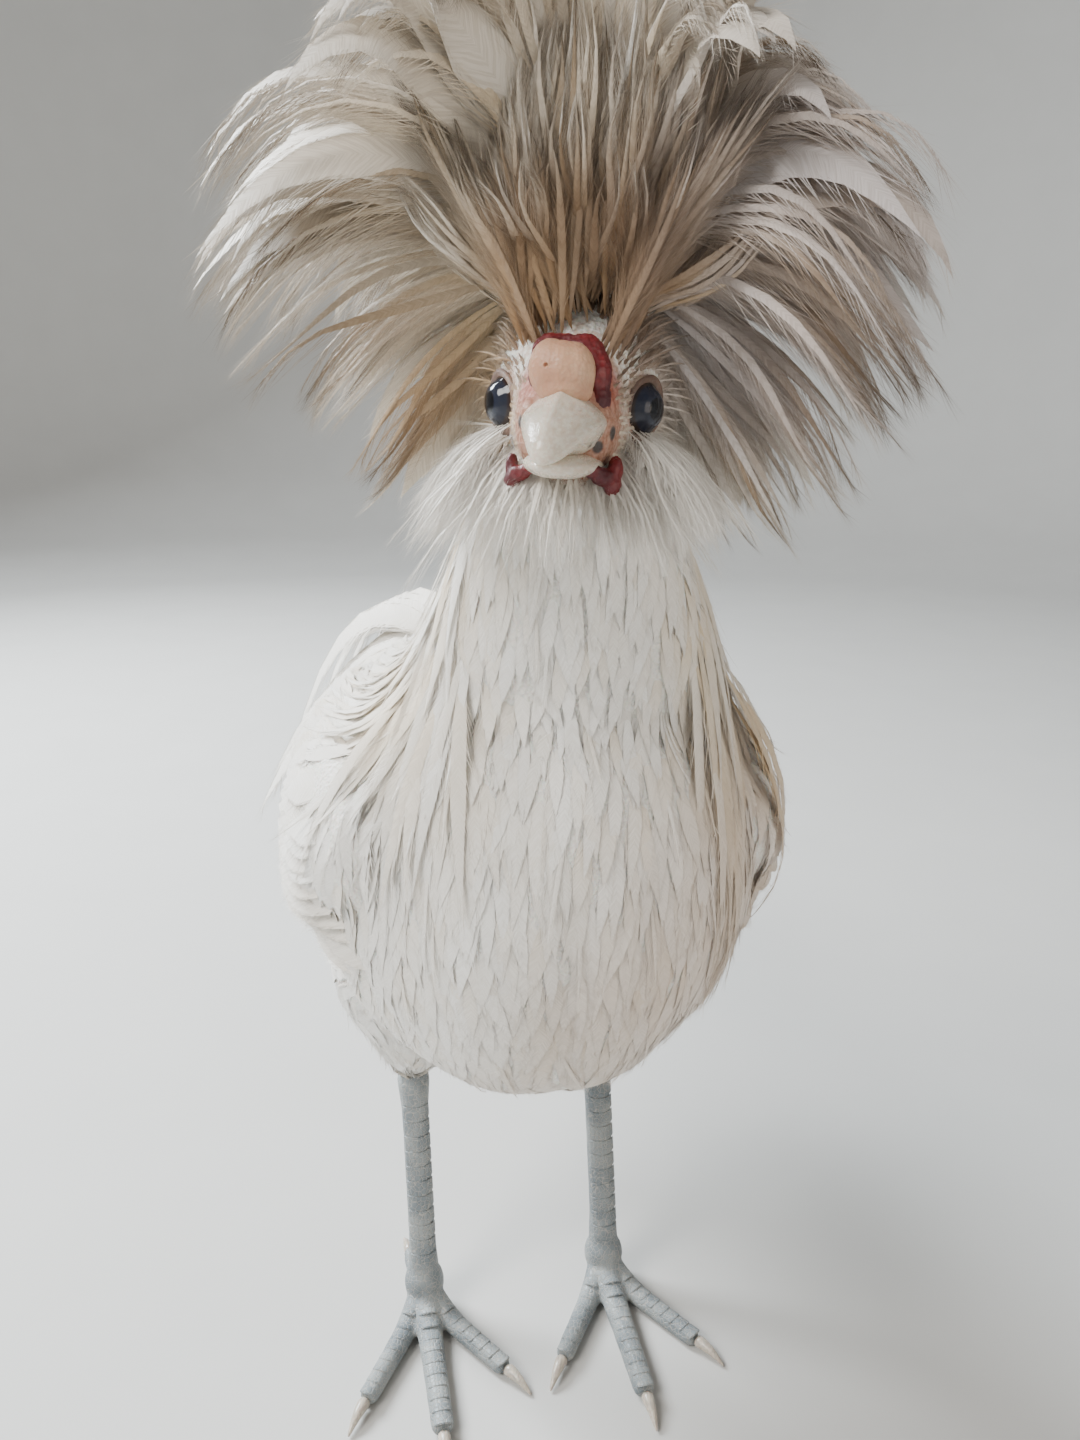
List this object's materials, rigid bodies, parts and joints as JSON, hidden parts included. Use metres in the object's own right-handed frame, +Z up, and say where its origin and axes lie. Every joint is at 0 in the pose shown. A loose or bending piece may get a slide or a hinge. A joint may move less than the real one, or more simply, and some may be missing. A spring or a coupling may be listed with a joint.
{
  "type": "polish crested cockerel",
  "caption": "Life-size standing crested cockerel with a mop of pointed head feathers, hackles, folded wings, low tail and bare shanks.",
  "frame": {"origin": "on the floor, under the middle of the box round the bird", "axes": "+Z up, -Y the way the bird faces, +X the bird's left"},
  "size_m": [0.2094, 0.3416, 0.3965],
  "materials": {
    "plumage": "soft white contour feathers with a cream cast on the hackles",
    "crest_plumage": "long narrow white feathers, tan at the root and grey brown at the tip",
    "face_skin": "finely pebbled pink skin under short bristle feathers",
    "comb_skin": "red, grained, slightly moist",
    "nasal_skin": "smooth pale pink skin over the nostril arch",
    "bill_horn": "satin white horn",
    "eye": "wet, dark",
    "shank_skin": "slate scales",
    "claw_horn": "satin horn"
  },
  "bodies": {
    "root": {"beard": "plumage", "bill_lower": "bill_horn", "bill_upper": "bill_horn", "claw_left_hind": "claw_horn", "claw_left_inner": "claw_horn", "claw_left_middle": "claw_horn", "claw_left_outer": "claw_horn", "claw_right_hind": "claw_horn", "claw_right_inner": "claw_horn", "claw_right_middle": "claw_horn", "claw_right_outer": "claw_horn", "comb": "comb_skin", "crest": "crest_plumage", "eye_left": "eye", "eye_right": "eye", "foot_left": "shank_skin", "foot_right": "shank_skin", "head": "face_skin", "muff_left": "plumage", "muff_right": "plumage", "nasal_knob": "nasal_skin", "neck": "plumage", "shank_left": "shank_skin", "shank_right": "shank_skin", "tail": "plumage", "thigh_left": "plumage", "thigh_right": "plumage", "torso": "plumage", "wattle_left": "comb_skin", "wattle_right": "comb_skin", "wing_left": "plumage", "wing_right": "plumage"}
  },
  "joints": []
}
